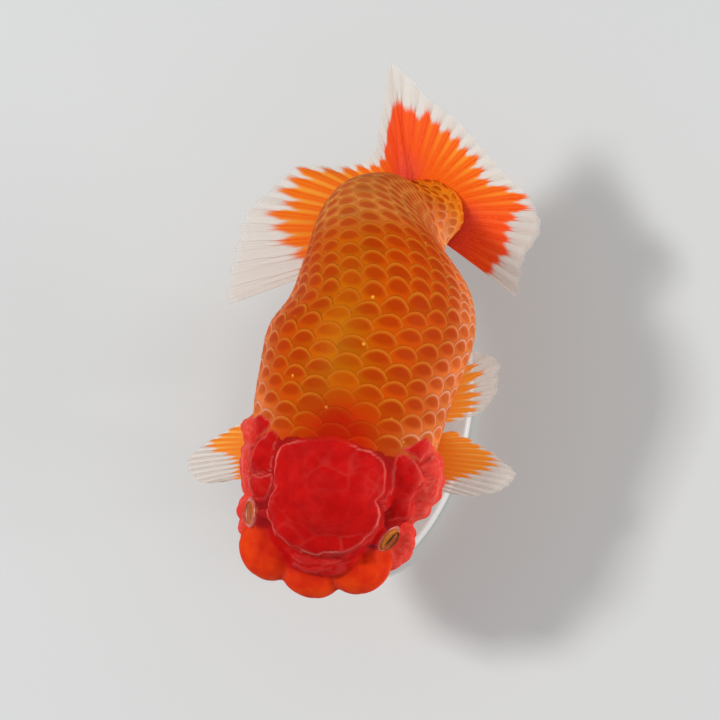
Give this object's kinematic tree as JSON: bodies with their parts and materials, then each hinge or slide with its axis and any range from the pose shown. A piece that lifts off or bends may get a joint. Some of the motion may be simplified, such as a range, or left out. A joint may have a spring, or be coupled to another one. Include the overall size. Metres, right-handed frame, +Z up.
{
  "type": "ranchu goldfish model",
  "caption": "Egg-bodied goldfish without a back fin, with swollen red head growth, golden-rimmed orange scales and a double tail, held over an oval base by rods.",
  "frame": {"origin": "middle of the underside of the stand's oval base, on the floor", "axes": "+Z up, -Y the way the head points, +X the fish's own left side"},
  "size_m": [0.0843, 0.1368, 0.0949],
  "materials": {
    "crown": "moist skin, red head growth",
    "growth": "moist skin, red head growth",
    "snout": "moist skin, orange-red",
    "body": "moist scaled skin, orange with golden rims",
    "root": "moist scaled skin, golden orange",
    "fin": "rayed fin, orange with a clear margin",
    "eye": "wet eye, golden iris and dark pupil",
    "base": "pale satin board",
    "rod": "brushed rod"
  },
  "bodies": {
    "root": {"eye_left": "eye", "eye_right": "eye", "temple_left": "growth", "temple_right": "growth", "gill_cover_left": "growth", "gill_cover_right": "growth", "cheek_left": "growth", "cheek_right": "growth", "upper_lip": "growth", "lower_jaw": "growth", "head": "growth", "crown": "crown", "snout_left": "snout", "snout_right": "snout", "snout_middle": "snout", "trunk_front": "body", "trunk_rear": "body", "tail_root": "root", "pectoral_fin_left": "fin", "pectoral_fin_right": "fin", "pelvic_fin_left": "fin", "pelvic_fin_right": "fin", "anal_fin_left": "fin", "anal_fin_right": "fin", "tail_upper_lobe_left": "fin", "tail_upper_lobe_right": "fin", "tail_lower_lobe_left": "fin", "tail_lower_lobe_right": "fin", "stand_base": "base", "stand_rod_front": "rod", "stand_rod_rear": "rod"}
  },
  "joints": []
}
